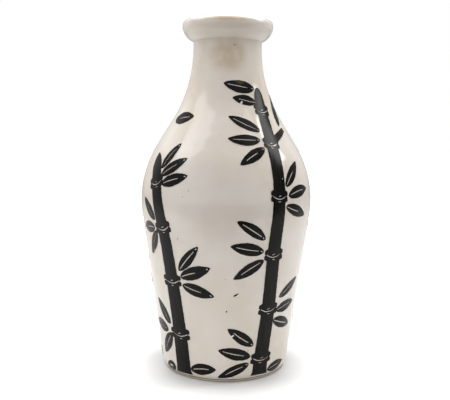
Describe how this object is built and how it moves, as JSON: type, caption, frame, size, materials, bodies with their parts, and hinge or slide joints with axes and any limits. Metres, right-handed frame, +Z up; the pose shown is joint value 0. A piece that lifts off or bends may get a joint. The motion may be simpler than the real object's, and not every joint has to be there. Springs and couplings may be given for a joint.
{
  "type": "bottle vase",
  "caption": "Free-standing ceramic bottle vase with tapered belly, sloping shoulder, short neck and rolled lip, cream glazed and painted with black bamboo.",
  "frame": {"origin": "middle of the foot, on the surface that the vase stands on", "axes": "+Z up the vase's axis, the painted front seen in the picture at -Y, +X to its right"},
  "size_m": [0.148, 0.148, 0.3],
  "materials": {
    "clay": "bare fired clay, matt",
    "cream_coat": "cream slip under a satin-gloss glaze",
    "inner_glaze": "glossy liner glaze",
    "black_slip": "black slip under the same glaze, scratched through to the cream"
  },
  "bodies": {
    "root": {"base_slab": "clay", "lower_wall": "clay", "shoulder_wall": "clay", "neck": "clay", "lip_roll": "clay", "cream_coat": "cream_coat", "inner_glaze": "inner_glaze", "front_left_culm": "black_slip", "front_left_leaves": "black_slip", "front_right_culm": "black_slip", "front_right_leaves": "black_slip", "back_right_culm": "black_slip", "back_right_leaves": "black_slip", "back_culm": "black_slip", "back_leaves": "black_slip", "back_left_culm": "black_slip", "back_left_leaves": "black_slip", "shoulder_leaf": "black_slip"}
  },
  "joints": []
}
